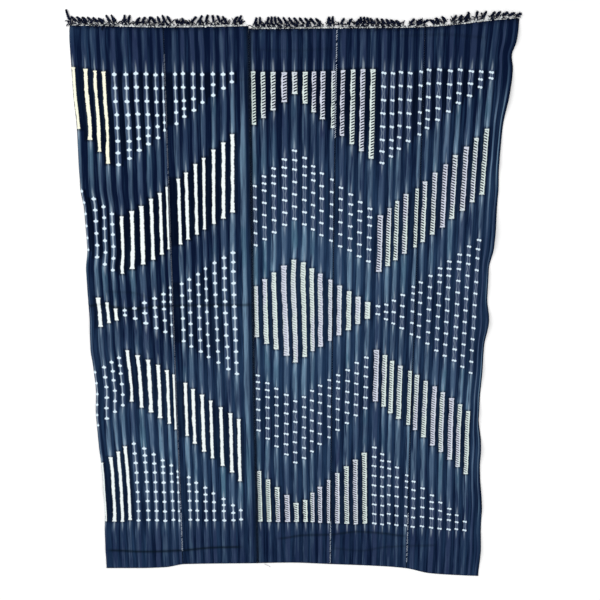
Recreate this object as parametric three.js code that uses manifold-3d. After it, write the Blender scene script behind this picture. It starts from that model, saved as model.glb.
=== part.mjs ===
// A wrapper cloth of five narrow handwoven cotton strips, sewn edge to edge and dyed with
// indigo. It lies right side up, flat on the surface under it, and lifts a little at its edges.
// Units are millimetres. +X runs across the strips, +Y along the warp towards the fringed end,
// and +Z is up. The tables measure across from the cloth's left edge and along from its hemmed
// end. The finished cloth is then centred, with the origin under the middle of its outline.

import * as THREE from 'three';
import Module from 'manifold-3d';
import { mergeVertices } from 'three/addons/utils/BufferGeometryUtils.js';

// Driving dimensions

const CLOTH_THICKNESS = 1.5;
const PIECE_GAP = 0.3;
const ROW_STEP = 42;
const MIDDLE_CELLS_ACROSS = 6;
const SELVEDGE_CELLS_ACROSS = 9;

const BACKING_DEPTH = 6;
const BACKING_THICKNESS = 2;
const ROOT_DEPTH = 3;

const TASSEL_WIDTH = 4.2;
const TASSEL_HEIGHT = 3.4;

const CLOTH_COLOUR = 0x1d2b4b;
const FRINGE_COLOUR = 0x12141f;
const COTTON_ROUGHNESS = 0.95;

// Turns rows of numbers into records with named columns.
const table = (columns, rows) =>
  rows.map((row) => Object.fromEntries(columns.map((name, i) => [name, row[i]])));

// The two side edges: how far across each lies, at distances along the cloth.
// The right edge draws in where it lifts off the surface.
const SIDE_EDGES = table(['along', 'left', 'right'], [
  [-30, -4, 1146],
  [60, -3, 1148],
  [130, -1, 1145],
  [190, 4, 1144],
  [300, 5, 1133],
  [350, 3, 1129],
  [425, -1, 1127],
  [500, -2, 1116],
  [575, 3, 1117],
  [645, 0, 1118],
  [710, -4, 1119],
  [790, 0, 1127],
  [860, -1, 1119],
  [930, -1, 1118],
  [995, 7, 1128],
  [1100, 7, 1130],
  [1160, 0, 1131],
  [1220, 0, 1128],
  [1320, 2, 1132],
  [1400, -1, 1143],
  [1465, -1, 1148],
  [1497, -1, 1143],
  [1530, -1, 1152],
  [1590, 5, 1157],
]);

// The four seams that join the strips: how far across each lies.
const SEAMS = table(['along', 'first', 'second', 'third', 'fourth'], [
  [-30, 233, 464, 687, 923],
  [600, 235, 461, 686, 918],
  [1200, 239, 462, 687, 918],
  [1590, 243, 462, 689, 915],
]);

// The ends of the cloth's two halves, which meet at the second seam: how far along the hem and
// the fringed end lie, at distances across. The right half was sewn on a little lower.
const LEFT_HALF_ENDS = table(['across', 'hem', 'fringed'], [
  [-10, 0, 1571],
  [100, 0, 1569],
  [177, 3, 1567],
  [239, 14, 1566],
  [470, 17, 1569],
]);
const RIGHT_HALF_ENDS = table(['across', 'hem', 'fringed'], [
  [455, 17, 1562],
  [563, 19, 1563],
  [687, 14, 1564],
  [841, 7, 1565],
  [919, 0, 1567],
  [997, -18, 1573],
  [1090, -25, 1583],
  [1160, -28, 1588],
]);

// The places where the cloth lifts off the surface, each a soft swell. A crease shows as the
// valley between two of them.
const SWELLS = table(['across', 'along', 'halfWidth', 'halfLength', 'height'], [
  [1150, 1545, 70, 45, 5],
  [1145, 1400, 80, 85, 6],
  [1132, 1235, 70, 70, 3],
  [1130, 1035, 95, 95, 8],
  [1120, 900, 80, 65, 5],
  [1126, 780, 80, 60, 7],
  [1118, 640, 80, 80, 5],
  [1118, 500, 80, 65, 4],
  [1130, 390, 95, 60, 7],
  [1142, 235, 80, 90, 4],
  [1146, 60, 85, 75, 5],
  [0, 1110, 60, 75, 3],
  [0, 770, 60, 65, 4],
  [0, 540, 50, 65, 2.5],
  [0, 260, 60, 95, 3],
  [120, 925, 130, 60, 2],
  [350, 910, 110, 62, 1.8],
  [120, 800, 130, 60, 2],
  [350, 780, 110, 62, 1.8],
  [150, 125, 170, 52, 2],
  [150, 32, 170, 34, 1.6],
  [600, 170, 110, 50, 2],
  [770, 60, 150, 46, 2.2],
  [1010, 50, 90, 55, 2.4],
  [1000, 1490, 120, 50, 2.2],
  [410, 1450, 30, 130, 2.6],
  [438, 700, 26, 620, 2],
]);

// The tassels of twisted warp ends, in runs of neighbours. Across gives where the first and
// last roots of a run lie. A lean is the angle from straight along the warp, to the right if
// positive, and curl is how much more a tassel leans at its tip than at its root.
const TASSEL_RUNS = table(
  ['strip', 'firstAcross', 'lastAcross', 'count', 'firstLean', 'lastLean', 'length', 'curl'],
  [
    [0, 9, 9, 1, -32, -32, 40, 24],
    [0, 24, 96, 6, -34, -44, 18, -16],
    [0, 112, 124, 2, -38, -34, 20, 10],
    [0, 143, 152, 2, 2, 12, 18, 8],
    [0, 170, 203, 3, 30, 16, 17, 14],
    [0, 224, 236, 2, -22, -14, 17, -8],
    [1, 250, 267, 2, -14, -26, 20, -10],
    [1, 287, 299, 2, -30, -12, 14, -24],
    [1, 312, 350, 3, 30, 12, 20, 16],
    [1, 372, 408, 3, 4, -24, 18, -18],
    [1, 420, 434, 2, 30, 18, 18, 14],
    [2, 476, 494, 2, 12, -12, 18, 10],
    [2, 506, 534, 3, 16, -14, 19, 6],
    [2, 550, 652, 8, -24, -38, 20, -12],
    [2, 664, 678, 2, 4, -8, 18, 16],
    [3, 696, 732, 3, 24, 34, 17, 14],
    [3, 750, 786, 4, 4, -26, 17, -12],
    [3, 800, 856, 5, -22, -46, 16, -14],
    [3, 872, 905, 3, 34, 44, 17, 18],
    [4, 942, 968, 3, -40, -18, 15, -28],
    [4, 984, 1012, 3, 18, 26, 16, 18],
    [4, 1028, 1078, 4, -14, 36, 17, 10],
    [4, 1092, 1140, 4, 30, 56, 17, 26],
  ],
);

// Shape of one tassel: the pale neck at the root, the twisted body and the cut tip, as shares
// of its length and of its full width and height.
const TASSEL_SECTIONS = table(['share', 'width', 'height'], [
  [0, 0.6, 0.7],
  [0.34, 0.95, 1],
  [0.72, 1, 1],
  [1, 0.5, 0.6],
]);

// A smooth curve through two columns of a table, which never swings past its rows: a cubic
// between each two rows, level at each row where the values turn.
function curveThrough(rows, fromColumn, toColumn) {
  const x = rows.map((row) => row[fromColumn]);
  const y = rows.map((row) => row[toColumn]);
  const last = x.length - 1;
  const slope = x.slice(1).map((value, i) => (y[i + 1] - y[i]) / (value - x[i]));
  const tangent = x.map((_, i) => {
    if (i === 0) return slope[0];
    if (i === last) return slope[last - 1];
    const before = slope[i - 1];
    const after = slope[i];
    return before * after <= 0 ? 0 : (2 * before * after) / (before + after);
  });
  return (at) => {
    const held = Math.min(Math.max(at, x[0]), x[last]);
    let i = 0;
    while (i < last - 1 && held > x[i + 1]) i += 1;
    const span = x[i + 1] - x[i];
    const t = (held - x[i]) / span;
    const rise = t * t * (3 - 2 * t);
    const leave = t * (1 - t) * (1 - t) * span;
    const arrive = t * t * (t - 1) * span;
    return y[i] + rise * (y[i + 1] - y[i]) + leave * tangent[i] + arrive * tangent[i + 1];
  };
}

const SEAM_NAMES = ['first', 'second', 'third', 'fourth'];
const STRIP_COUNT = SEAM_NAMES.length + 1;

// The lines between which the strips lie, from the left edge over the seams to the right edge.
const borders = [
  curveThrough(SIDE_EDGES, 'along', 'left'),
  ...SEAM_NAMES.map((name) => curveThrough(SEAMS, 'along', name)),
  curveThrough(SIDE_EDGES, 'along', 'right'),
];
const STRIPS_IN_LEFT_HALF = 2;
const halves = [LEFT_HALF_ENDS, RIGHT_HALF_ENDS].map((ends) => ({
  hem: curveThrough(ends, 'across', 'hem'),
  fringed: curveThrough(ends, 'across', 'fringed'),
}));
const halfOf = (strip) => halves[strip < STRIPS_IN_LEFT_HALF ? 0 : 1];

// How far a strip's side lies across, drawn back from a seam by half the gap between pieces.
function stripSide(strip, side, along) {
  const border = strip + side;
  const isSeam = border > 0 && border < STRIP_COUNT;
  const drawnBack = isSeam ? PIECE_GAP / 2 : 0;
  return borders[border](along) + (side === 0 ? drawnBack : -drawnBack);
}

// How far across a point lies that is a share of the way over a strip.
function acrossAt(strip, share, along) {
  const left = stripSide(strip, 0, along);
  const right = stripSide(strip, 1, along);
  return left + share * (right - left);
}

// How high the cloth lifts off the surface: the sum of its swells, each a squared cosine.
function liftAt(across, along) {
  return SWELLS.reduce((sum, swell) => {
    const reach = Math.hypot(
      (across - swell.across) / swell.halfWidth,
      (along - swell.along) / swell.halfLength,
    );
    return reach < 1 ? sum + swell.height * Math.cos((reach * Math.PI) / 2) ** 2 : sum;
  }, 0);
}

// Shares of the cloth's length at which its solids have a row of points: each row of the side
// table, with long stretches between them divided evenly.
function rowShares() {
  const start = SIDE_EDGES[0].along;
  const end = SIDE_EDGES[SIDE_EDGES.length - 1].along;
  const shares = [0];
  SIDE_EDGES.slice(1).forEach((row, i) => {
    const from = SIDE_EDGES[i].along;
    const steps = Math.ceil((row.along - from) / ROW_STEP);
    for (let step = 1; step <= steps; step += 1) {
      shares.push((from + ((row.along - from) * step) / steps - start) / (end - start));
    }
  });
  return shares;
}

// Shares of a strip's width at which it has a column of points. The outer strip's columns are
// closer towards the free edge, which ripples.
function columnShares(strip) {
  const isOuter = strip === STRIP_COUNT - 1;
  const cells = isOuter ? SELVEDGE_CELLS_ACROSS : MIDDLE_CELLS_ACROSS;
  const crowding = isOuter ? 1.5 : 1;
  return Array.from({ length: cells + 1 }, (_, i) => 1 - (1 - i / cells) ** crowding);
}

// A closed slab over a grid of points: pointAt(i, j) gives a column and row's place and the
// heights of its underside and top.
function slabGeometry(columns, rows, pointAt) {
  const positions = [];
  for (let j = 0; j < rows; j += 1) {
    for (let i = 0; i < columns; i += 1) {
      const point = pointAt(i, j);
      positions.push(point.x, point.y, point.bottom, point.x, point.y, point.top);
    }
  }
  const bottomAt = (i, j) => 2 * (j * columns + i);
  const topAt = (i, j) => bottomAt(i, j) + 1;
  const faces = [];
  const addQuad = (a, b, c, d) => faces.push(a, b, c, a, c, d);
  for (let j = 0; j < rows - 1; j += 1) {
    for (let i = 0; i < columns - 1; i += 1) {
      addQuad(topAt(i, j), topAt(i + 1, j), topAt(i + 1, j + 1), topAt(i, j + 1));
      addQuad(bottomAt(i, j), bottomAt(i, j + 1), bottomAt(i + 1, j + 1), bottomAt(i + 1, j));
    }
  }
  for (let i = 0; i < columns - 1; i += 1) {
    const far = rows - 1;
    addQuad(bottomAt(i, 0), bottomAt(i + 1, 0), topAt(i + 1, 0), topAt(i, 0));
    addQuad(bottomAt(i + 1, far), bottomAt(i, far), topAt(i, far), topAt(i + 1, far));
  }
  for (let j = 0; j < rows - 1; j += 1) {
    const far = columns - 1;
    addQuad(bottomAt(0, j + 1), bottomAt(0, j), topAt(0, j), topAt(0, j + 1));
    addQuad(bottomAt(far, j), bottomAt(far, j + 1), topAt(far, j + 1), topAt(far, j));
  }
  const geometry = new THREE.BufferGeometry();
  geometry.setAttribute('position', new THREE.Float32BufferAttribute(positions, 3));
  geometry.setIndex(faces);
  return geometry;
}

// One woven strip, from its hem to its fringed end.
function stripGeometry(strip) {
  const shares = columnShares(strip);
  const rows = rowShares();
  const start = SIDE_EDGES[0].along;
  const span = SIDE_EDGES[SIDE_EDGES.length - 1].along - start;
  return slabGeometry(shares.length, rows.length, (i, j) => {
    const firstAcross = acrossAt(strip, shares[i], start + rows[j] * span);
    const hem = halfOf(strip).hem(firstAcross);
    const along = hem + rows[j] * (halfOf(strip).fringed(firstAcross) - hem);
    const across = acrossAt(strip, shares[i], along);
    const lift = liftAt(across, along);
    return { x: across, y: along, bottom: lift, top: lift + CLOTH_THICKNESS };
  });
}

// The narrow strip along a woven strip's fringed end in which its tassels are rooted.
function backingGeometry(strip) {
  const shares = columnShares(strip);
  const end = SIDE_EDGES[SIDE_EDGES.length - 1].along;
  return slabGeometry(shares.length, 2, (i, j) => {
    const across = acrossAt(strip, shares[i], end);
    const along = halfOf(strip).fringed(across) + PIECE_GAP + j * BACKING_DEPTH;
    return { x: across, y: along, bottom: 0, top: BACKING_THICKNESS };
  });
}

// One tassel: a four-sided section carried along a bending line, its flat underside level on
// the surface.
function tasselGeometry(rootAcross, rootAlong, lean, length, curl) {
  let x = rootAcross;
  let y = rootAlong;
  let before = 0;
  const rings = TASSEL_SECTIONS.map((section) => {
    const middle = (before + section.share) / 2;
    const heading = THREE.MathUtils.degToRad(lean + curl * middle);
    const step = (section.share - before) * length;
    x += Math.sin(heading) * step;
    y += Math.cos(heading) * step;
    before = section.share;
    const turn = THREE.MathUtils.degToRad(lean + curl * section.share);
    const half = (section.width * TASSEL_WIDTH) / 2;
    const top = section.height * TASSEL_HEIGHT;
    const sideX = Math.cos(turn) * half;
    const sideY = -Math.sin(turn) * half;
    return [
      [x - sideX, y - sideY, 0],
      [x + sideX, y + sideY, 0],
      [x + sideX, y + sideY, top],
      [x - sideX, y - sideY, top],
    ];
  });
  const sides = rings[0].length;
  const faces = [0, 1, 2, 0, 2, 3];
  for (let ring = 0; ring < rings.length - 1; ring += 1) {
    for (let side = 0; side < sides; side += 1) {
      const a = ring * sides + side;
      const b = ring * sides + ((side + 1) % sides);
      faces.push(a, a + sides, b + sides, a, b + sides, b);
    }
  }
  const end = (rings.length - 1) * sides;
  faces.push(end, end + 2, end + 1, end, end + 3, end + 2);
  const geometry = new THREE.BufferGeometry();
  geometry.setAttribute('position', new THREE.Float32BufferAttribute(rings.flat(2), 3));
  geometry.setIndex(faces);
  return geometry;
}

// The tassels of one strip, each from its place in its run.
function tasselsOf(strip) {
  return TASSEL_RUNS.filter((run) => run.strip === strip).flatMap((run) =>
    Array.from({ length: run.count }, (_, i) => {
      const share = run.count > 1 ? i / (run.count - 1) : 0;
      const across = THREE.MathUtils.lerp(run.firstAcross, run.lastAcross, share);
      const lean = THREE.MathUtils.lerp(run.firstLean, run.lastLean, share);
      const along = halfOf(strip).fringed(across) + PIECE_GAP + BACKING_DEPTH - ROOT_DEPTH;
      return tasselGeometry(across, along, lean, run.length, run.curl);
    }),
  );
}

const wasm = await Module();
wasm.setup();

// Makes a closed geometry into a solid that can be joined.
function solidFrom(geometry) {
  const merged = mergeVertices(geometry);
  return new wasm.Manifold(
    new wasm.Mesh({
      numProp: 3,
      vertProperties: new Float32Array(merged.attributes.position.array),
      triVerts: new Uint32Array(merged.index.array),
    }),
  );
}

// One strip's fringe: its tassels joined to their backing.
function fringeGeometry(strip) {
  const joined = tasselsOf(strip).reduce(
    (sum, tassel) => sum.add(solidFrom(tassel)),
    solidFrom(backingGeometry(strip)),
  );
  const mesh = joined.getMesh();
  const geometry = new THREE.BufferGeometry();
  geometry.setAttribute('position', new THREE.BufferAttribute(mesh.vertProperties, 3));
  geometry.setIndex(new THREE.BufferAttribute(mesh.triVerts, 1));
  return geometry;
}

function cottonMesh(name, geometry, colour) {
  geometry.computeVertexNormals();
  const material = new THREE.MeshStandardMaterial({
    color: colour,
    roughness: COTTON_ROUGHNESS,
    metalness: 0,
  });
  const mesh = new THREE.Mesh(geometry, material);
  mesh.name = name;
  return mesh;
}

const cloth = new THREE.Group();
for (let strip = 0; strip < STRIP_COUNT; strip += 1) {
  cloth.add(cottonMesh(`strip_${strip + 1}`, stripGeometry(strip), CLOTH_COLOUR));
  cloth.add(cottonMesh(`fringe_${strip + 1}`, fringeGeometry(strip), FRINGE_COLOUR));
}

const extent = new THREE.Box3().setFromObject(cloth);
const middle = extent.getCenter(new THREE.Vector3());
cloth.position.set(-middle.x, -middle.y, 0);

export default cloth;
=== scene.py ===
# An indigo wrapper cloth of five narrow handwoven strips, laid out flat: the woven strips with
# their resist marks, the sewing that joins them, the fringe of twisted warp ends and the hem.
# Sizes are millimetres across from the cloth's left edge and along from its hemmed end, and
# every mesh is made in metres in the frame of the part.

import math

import bpy
import numpy as np
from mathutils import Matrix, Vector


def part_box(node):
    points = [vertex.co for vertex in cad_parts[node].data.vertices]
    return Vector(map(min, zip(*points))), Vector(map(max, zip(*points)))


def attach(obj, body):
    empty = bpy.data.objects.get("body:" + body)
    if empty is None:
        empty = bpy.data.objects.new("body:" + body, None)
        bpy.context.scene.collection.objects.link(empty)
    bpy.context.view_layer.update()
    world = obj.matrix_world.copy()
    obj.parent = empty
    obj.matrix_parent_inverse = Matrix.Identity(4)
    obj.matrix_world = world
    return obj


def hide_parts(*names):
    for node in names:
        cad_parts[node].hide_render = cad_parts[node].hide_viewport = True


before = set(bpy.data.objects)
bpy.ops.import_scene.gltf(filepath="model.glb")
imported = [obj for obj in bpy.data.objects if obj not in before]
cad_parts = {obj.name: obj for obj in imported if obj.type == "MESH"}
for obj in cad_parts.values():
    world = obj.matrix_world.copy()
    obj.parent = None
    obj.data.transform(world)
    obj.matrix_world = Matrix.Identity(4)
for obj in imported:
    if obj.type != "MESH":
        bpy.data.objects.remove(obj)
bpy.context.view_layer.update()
METRE = 0.001


# How the cloth lies
# The strips lie side by side between the cloth's two edges and its four seams. The right edge
# draws in and lifts, and the right half was sewn on a little lower than the left one.

def table(columns, rows):
    """Rows of numbers as one array for each named column."""
    return dict(zip(columns, np.array(rows, float).T))


SIDE_EDGES = table(["along", "left", "right"], [
    [-30, -4, 1146],
    [60, -3, 1148],
    [130, -1, 1145],
    [190, 4, 1144],
    [300, 5, 1133],
    [350, 3, 1129],
    [425, -1, 1127],
    [500, -2, 1116],
    [575, 3, 1117],
    [645, 0, 1118],
    [710, -4, 1119],
    [790, 0, 1127],
    [860, -1, 1119],
    [930, -1, 1118],
    [995, 7, 1128],
    [1100, 7, 1130],
    [1160, 0, 1131],
    [1220, 0, 1128],
    [1320, 2, 1132],
    [1400, -1, 1143],
    [1465, -1, 1148],
    [1497, -1, 1143],
    [1530, -1, 1152],
    [1590, 5, 1157],
])
SEAMS = table(["along", "first", "second", "third", "fourth"], [
    [-30, 233, 464, 687, 923],
    [600, 235, 461, 686, 918],
    [1200, 239, 462, 687, 918],
    [1590, 243, 462, 689, 915],
])
LEFT_HALF_ENDS = table(["across", "hem", "fringed"], [
    [-10, 0, 1571],
    [100, 0, 1569],
    [177, 3, 1567],
    [239, 14, 1566],
    [470, 17, 1569],
])
RIGHT_HALF_ENDS = table(["across", "hem", "fringed"], [
    [455, 17, 1562],
    [563, 19, 1563],
    [687, 14, 1564],
    [841, 7, 1565],
    [919, 0, 1567],
    [997, -18, 1573],
    [1090, -25, 1583],
    [1160, -28, 1588],
])
SWELLS = table(["across", "along", "half_width", "half_length", "height"], [
    [1150, 1545, 70, 45, 5],
    [1145, 1400, 80, 85, 6],
    [1132, 1235, 70, 70, 3],
    [1130, 1035, 95, 95, 8],
    [1120, 900, 80, 65, 5],
    [1126, 780, 80, 60, 7],
    [1118, 640, 80, 80, 5],
    [1118, 500, 80, 65, 4],
    [1130, 390, 95, 60, 7],
    [1142, 235, 80, 90, 4],
    [1146, 60, 85, 75, 5],
    [0, 1110, 60, 75, 3],
    [0, 770, 60, 65, 4],
    [0, 540, 50, 65, 2.5],
    [0, 260, 60, 95, 3],
    [120, 925, 130, 60, 2],
    [350, 910, 110, 62, 1.8],
    [120, 800, 130, 60, 2],
    [350, 780, 110, 62, 1.8],
    [150, 125, 170, 52, 2],
    [150, 32, 170, 34, 1.6],
    [600, 170, 110, 50, 2],
    [770, 60, 150, 46, 2.2],
    [1010, 50, 90, 55, 2.4],
    [1000, 1490, 120, 50, 2.2],
    [410, 1450, 30, 130, 2.6],
    [438, 700, 26, 620, 2],
])
# Where the right edge would lie if it had not drawn in. The stripes keep to this line, and only
# the last part of the fifth strip is drawn in with the edge.
EVEN_RIGHT_EDGE = table(["along", "right"], [
    [-30, 1148],
    [190, 1146],
    [350, 1140],
    [500, 1137],
    [700, 1138],
    [995, 1138],
    [1320, 1144],
    [1465, 1148],
    [1530, 1151],
    [1590, 1156],
])
DRAWN_IN_FROM = 0.7
CLOTH_START, CLOTH_END = SIDE_EDGES["along"][0], SIDE_EDGES["along"][-1]
STRIPS = 5
STRIPS_IN_LEFT_HALF = 2
SEAM_GAP = 0.3
CLOTH_THICKNESS = 1.5


def curve_through(x, y):
    """A curve through points (x, y). Between two points it is the cubic with their heights and
    slopes, and a point's slope is the harmonic mean of the slopes on its two sides, or level
    where the heights turn."""
    slope = np.diff(y) / np.diff(x)
    before, after = slope[:-1], slope[1:]
    agree = before * after > 0
    inner = np.where(agree, 2 * before * after / np.where(agree, before + after, 1), 0)
    tangent = np.concatenate([slope[:1], inner, slope[-1:]])

    def height_at(place):
        held = np.clip(place, x[0], x[-1])
        i = np.clip(np.searchsorted(x, held) - 1, 0, len(x) - 2)
        span = x[i + 1] - x[i]
        t = (held - x[i]) / span
        rise = t * t * (3 - 2 * t)
        leave = t * (1 - t) ** 2 * span
        arrive = t * t * (t - 1) * span
        return y[i] + rise * (y[i + 1] - y[i]) + leave * tangent[i] + arrive * tangent[i + 1]

    return height_at


left_edge = curve_through(SIDE_EDGES["along"], SIDE_EDGES["left"])
right_edge = curve_through(SIDE_EDGES["along"], SIDE_EDGES["right"])
seam_names = ("first", "second", "third", "fourth")
borders = [left_edge, *(curve_through(SEAMS["along"], SEAMS[name]) for name in seam_names), right_edge]
even_right_edge = curve_through(EVEN_RIGHT_EDGE["along"], EVEN_RIGHT_EDGE["right"])
half_ends = (LEFT_HALF_ENDS, RIGHT_HALF_ENDS)
hems = [curve_through(ends["across"], ends["hem"]) for ends in half_ends]
fringed_ends = [curve_through(ends["across"], ends["fringed"]) for ends in half_ends]


def half_of(strip):
    """0 for a strip of the left half and 1 for one of the right half."""
    return 0 if strip < STRIPS_IN_LEFT_HALF else 1


def across_at(strip, share, along):
    """How far across a point lies, that is a share of the way over a strip at that distance. In
    the fifth strip the draw-in of the edge reaches inwards as a square that ends at 0.7."""
    left = borders[strip](along) + (SEAM_GAP / 2 if strip > 0 else 0)
    right = borders[strip + 1](along) - (SEAM_GAP / 2 if strip < STRIPS - 1 else 0)
    if strip < STRIPS - 1:
        return left + share * (right - left)
    drawn_in = (np.maximum(share - DRAWN_IN_FROM, 0) / (1 - DRAWN_IN_FROM)) ** 2
    even = even_right_edge(along)
    return left + share * (even - left) + drawn_in * (right - even)


def lie_of(strip, share, length_share):
    """Where a strip's points lie, across and along. A point keeps its share of the way over the
    strip and its share of the way from the hem to the fringed end."""
    half = half_of(strip)
    first = across_at(strip, share, CLOTH_START + length_share * (CLOTH_END - CLOTH_START))
    hem = hems[half](first)
    along = hem + length_share * (fringed_ends[half](first) - hem)
    return across_at(strip, share, along), along


def patches_at(patches, across, along):
    """The sum of soft round patches, each its strength times the squared cosine of the distance
    from its middle, which is 1 at its elliptical rim."""
    total = np.zeros(np.broadcast_shapes(np.shape(across), np.shape(along)))
    for middle, place, half_width, half_length, strength in zip(*patches.values()):
        reach = np.hypot((across - middle) / half_width, (along - place) / half_length)
        total += np.where(reach < 1, strength * np.cos(np.minimum(reach, 1) * math.pi / 2) ** 2, 0)
    return total


def lift_at(across, along):
    """How far the underside of the cloth is lifted: the sum of all its swells."""
    return patches_at(SWELLS, across, along)


# The frame's origin is under the middle of the cloth's outline, so the third strip's corner of
# its box says how far that is from where these measures start.
third_strip = 2
length_shares = np.linspace(0, 1, 400)
side_across, _ = lie_of(third_strip, 0.0, length_shares)
_, hem_along = lie_of(third_strip, np.linspace(0, 1, 60), 0.0)
origin_across = side_across.min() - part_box("strip_3")[0].x / METRE
origin_along = hem_along.min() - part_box("strip_3")[0].y / METRE


def in_frame(across, along, height):
    """Points of the cloth, in millimetres, as points of the frame in metres."""
    places = np.broadcast_arrays(across - origin_across, along - origin_along, height)
    return np.stack(places, -1) * METRE


# The woven strips
# Handspun cotton in a close warp-faced weave, with broad dark and light indigo stripes along the
# warp. Each strip is one length off a narrow loom, and its lower end is rolled into a thin hem.

STRIPE_MIDDLES = [
    [5, 35, 58, 80, 106, 135, 160, 185, 209, 227],
    [28, 50, 77, 102, 132, 160, 184, 212],
    [10, 36, 63, 93, 121, 149, 173, 197, 225],
    [18, 45, 71, 98, 127, 151, 172, 196, 225],
    [14, 41, 69, 95, 124, 150, 177, 200, 221],
]
STRIPE_HALF_WIDTHS = [
    [5.5, 7, 6.2, 6.2, 6.8, 7.2, 7, 6.8, 6.2, 3.8],
    [6.4, 6.8, 7, 6.4, 7, 7.4, 6.8, 7],
    [6, 6.8, 7, 8, 7.4, 7, 6.2, 6.8, 5.4],
    [6.4, 6.8, 7, 7, 7.4, 6.2, 6, 6.8, 5.2],
    [6.4, 6.8, 7, 7, 7.4, 6.6, 7, 3.4, 2.8],
]
LOOM_WIDTH = 232.0
TURNED_UNDER = 7.5
FIRST_DARK_STRIPE = 15.0

# Where stripes stray sideways from their own place on the loom, as soft patches of a strip.
STRAYING = table(["strip", "over_loom", "along", "half_width", "half_length", "shift"], [
    [0, 80, 1000, 190, 420, -5],
    [0, 135, 800, 50, 520, -4.5],
    [1, 150, 960, 95, 560, -9],
    [2, 60, 560, 110, 360, 4],
    [2, 130, 915, 140, 125, -3.5],
    [2, 110, 700, 130, 120, 2.5],
    [2, 110, 60, 190, 380, 5],
    [3, 100, 60, 190, 380, 5.5],
    [4, 90, 60, 140, 500, 6],
])
KEPT_EDGE = 0.05
ROW_STEP = 3.5
FIRST_EVEN_ROW, LAST_EVEN_ROW = 8, 3
HEM_ROWS = [0, 0.7, 1.6, 2.8, 4.2, 5.8]
END_ROWS = [2, 1, 0.4, 0]
FLAT_END_REACH = 12
HEM_ROLL = 2.6
HEM_DEPTH = 5.5
THIN_INSIDE_HEM = 0.9
SELVEDGE_RIDGES = [0.5, 0.7, 1.5, 0.7, 0.7, 0.4]
SELVEDGE_REACH = 4.0
RIB_HEIGHT = 0.12
EDGE_COLUMNS = [0.6, 1.6, 3.2, 5.4]
COLUMNS_OVER_LIGHT = [-1, -0.33, 0.33, 1]
COLUMNS_IN_DARK = [0.25, 0.5, 0.75]
CLOSEST_COLUMNS = 0.3
EDGE_ROUNDING = 1.4
SHARP_EDGE_ANGLE = 50

# The creases that the cloth keeps from having been folded away: sharp valleys between two soft
# shoulders, each a line of places across and along, with the height of its shoulders and how
# dark the painted shade on the line is, which stands in for the shadow in the fold.
CREASES = [
    {"across": [62, 120, 160, 205, 262, 300, 420],
     "along": [872, 870, 858, 846, 852, 856, 846], "height": 1.0, "shade": 0.3},
    {"across": [4, 33, 75, 123, 200, 339, 452],
     "along": [831, 835, 828, 823, 830, 834, 835], "height": 1.2, "shade": 0.8},
    {"across": [20, 120, 230, 330, 400],
     "along": [62, 58, 62, 72, 74], "height": 1.3, "shade": 1.0},
    {"across": [540, 610, 690, 760, 830, 905],
     "along": [103, 114, 116, 126, 122, 112], "height": 1.0, "shade": 0.7},
    {"across": [700, 780, 860, 1000],
     "along": [70, 62, 74, 80], "height": 0.8, "shade": 0.4},
    {"across": [860, 960, 1060],
     "along": [1545, 1548, 1541], "height": 0.9, "shade": 0.3},
    {"across": [470, 560, 680],
     "along": [1512, 1508, 1514], "height": 0.5, "shade": 0.2},
    {"across": [70, 180, 320, 450],
     "along": [1425, 1436, 1430, 1438], "height": 0.4, "shade": 0.2},
]
CREASE_HALF_WIDTH = 7.0
CREASE_LINE_REACH = 4.0
CREASE_RUN_OUT = 0.3
COCKLE_WAVES = 14
COCKLE_LENGTHS = (45, 160)
COCKLE_HEIGHT = 0.3


def cockle_at(across, along):
    """The slight unevenness of hand-dyed cloth: the sum of seeded sine waves, 45 to 160 mm long,
    in all directions, cut off where it would go under the surface below."""
    rng = np.random.default_rng(7)
    sum_of_waves = np.zeros(np.shape(across))
    for _ in range(COCKLE_WAVES):
        direction, phase = rng.uniform(0, 2 * math.pi, 2)
        turn = 2 * math.pi / rng.uniform(*COCKLE_LENGTHS)
        onward = across * math.cos(direction) + along * math.sin(direction)
        sum_of_waves += np.sin(turn * onward + phase)
    return COCKLE_HEIGHT * np.maximum(sum_of_waves, 0)


def crease_distance(crease, across, along):
    """Distance from a crease along the warp. Past its ends, a share of the way across counts as
    well, so that it runs out softly."""
    line = curve_through(np.array(crease["across"], float), np.array(crease["along"], float))
    past_end = np.maximum(crease["across"][0] - across, across - crease["across"][-1])
    return np.hypot(along - line(across), np.maximum(past_end, 0) * CREASE_RUN_OUT)


def crease_relief(across, along):
    """The two shoulders of each crease: height times x times e to the half of one minus x
    squared, where x is the distance in half widths, so it is a sharp zero on the line itself."""
    relief = np.zeros(np.shape(across))
    for crease in CREASES:
        x = crease_distance(crease, across, along) / CREASE_HALF_WIDTH
        relief += crease["height"] * x * np.exp((1 - x * x) / 2)
    return relief


def crease_shade(across, along):
    """How dark the painted shade on the folded line itself is: its shade times e to the minus
    square of the distance over its reach."""
    shade = np.zeros(np.shape(across))
    for crease in CREASES:
        distance = crease_distance(crease, across, along)
        shade = np.maximum(shade, crease["shade"] * np.exp(-((distance / CREASE_LINE_REACH) ** 2)))
    return shade


# The resist marks
# Before dyeing, each light stripe was stitched and drawn up, in long runs that stay white as bars
# and in single pinches that stay white as dots. Their ends follow zigzags over both halves.

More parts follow.
